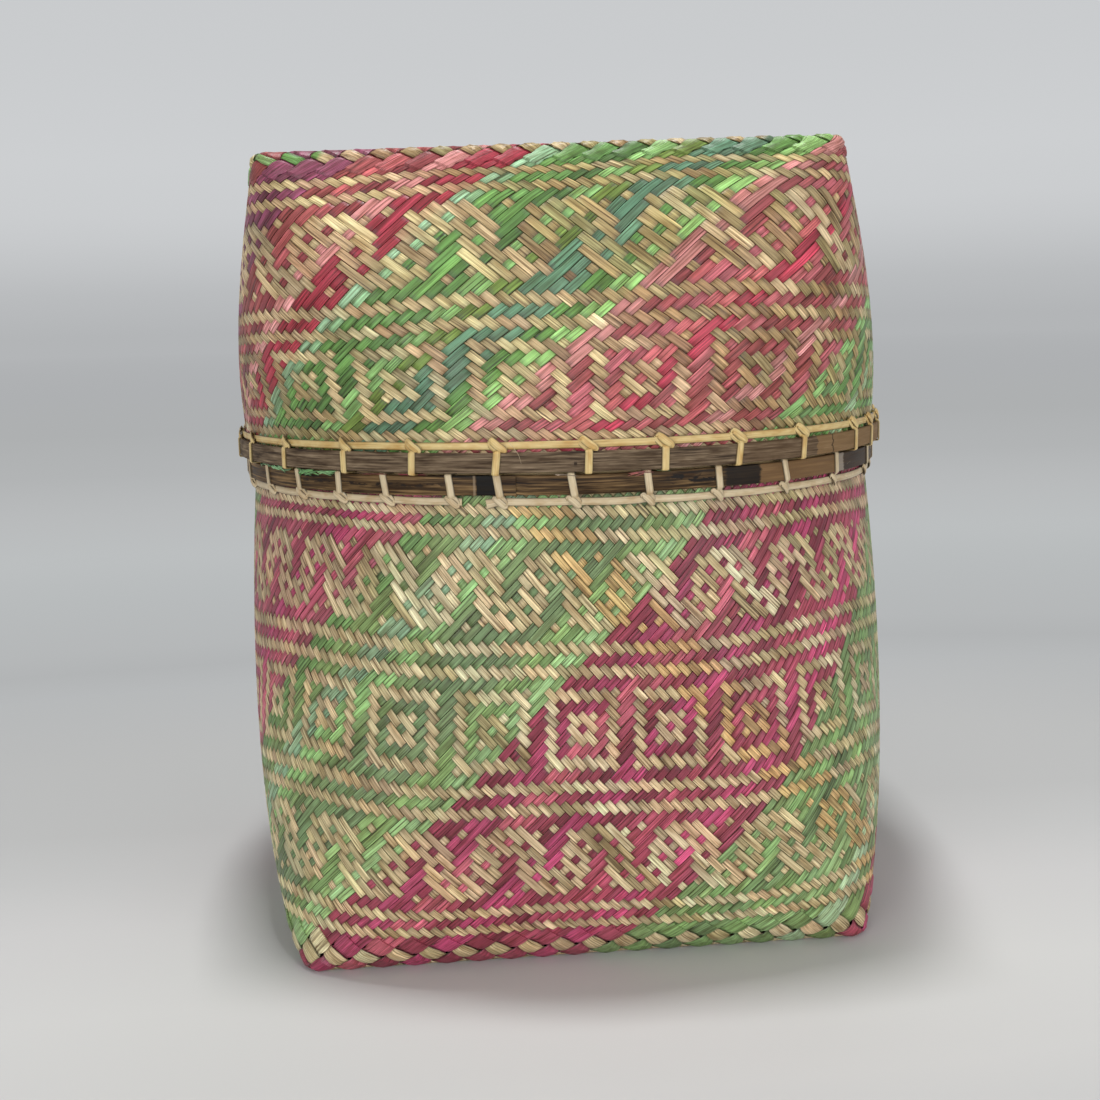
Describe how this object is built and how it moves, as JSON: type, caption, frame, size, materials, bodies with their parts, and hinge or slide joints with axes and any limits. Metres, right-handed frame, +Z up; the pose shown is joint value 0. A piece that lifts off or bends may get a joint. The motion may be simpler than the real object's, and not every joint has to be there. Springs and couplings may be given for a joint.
{
  "type": "woven bamboo box",
  "caption": "Lidded box of plaited bamboo with a square base and square lid that meet in round mouths bound with cane-lashed hoops; the lid lifts off an inner collar.",
  "frame": {"origin": "under the middle of the round mouth, on the surface that the square bottom stands on", "axes": "+Z up along the way the lid lifts, front side of the base towards -Y, +X to the right seen from the front"},
  "size_m": [0.2917, 0.2915, 0.3198],
  "materials": {
    "base_weave": "plaited bamboo strips, natural straw with strips dyed green and rose",
    "lid_weave": "plaited bamboo strips, natural straw with strips dyed rose, crimson and green",
    "base_hoop": "dark brown bamboo, worn half glossy with blackened patches",
    "lid_hoop": "weathered grey-brown bamboo, matt",
    "collar": "plain undyed bamboo, matt",
    "base_cane": "pale beige split cane, smooth",
    "lid_cane": "straw yellow split cane, smooth"
  },
  "bodies": {
    "base": {"base_basket": "base_weave", "base_outer_hoop": "base_hoop", "base_inner_hoop": "base_hoop", "base_collar": "collar", "base_lashing": "base_cane"},
    "lid": {"lid_basket": "lid_weave", "lid_outer_hoop": "lid_hoop", "lid_inner_hoop": "lid_hoop", "lid_lashing": "lid_cane"}
  },
  "joints": [
    {"name": "lid_lift", "type": "slide", "parent": "base", "child": "lid", "axis": [0, 0, 1], "range_m": [0, 0.16]}
  ]
}
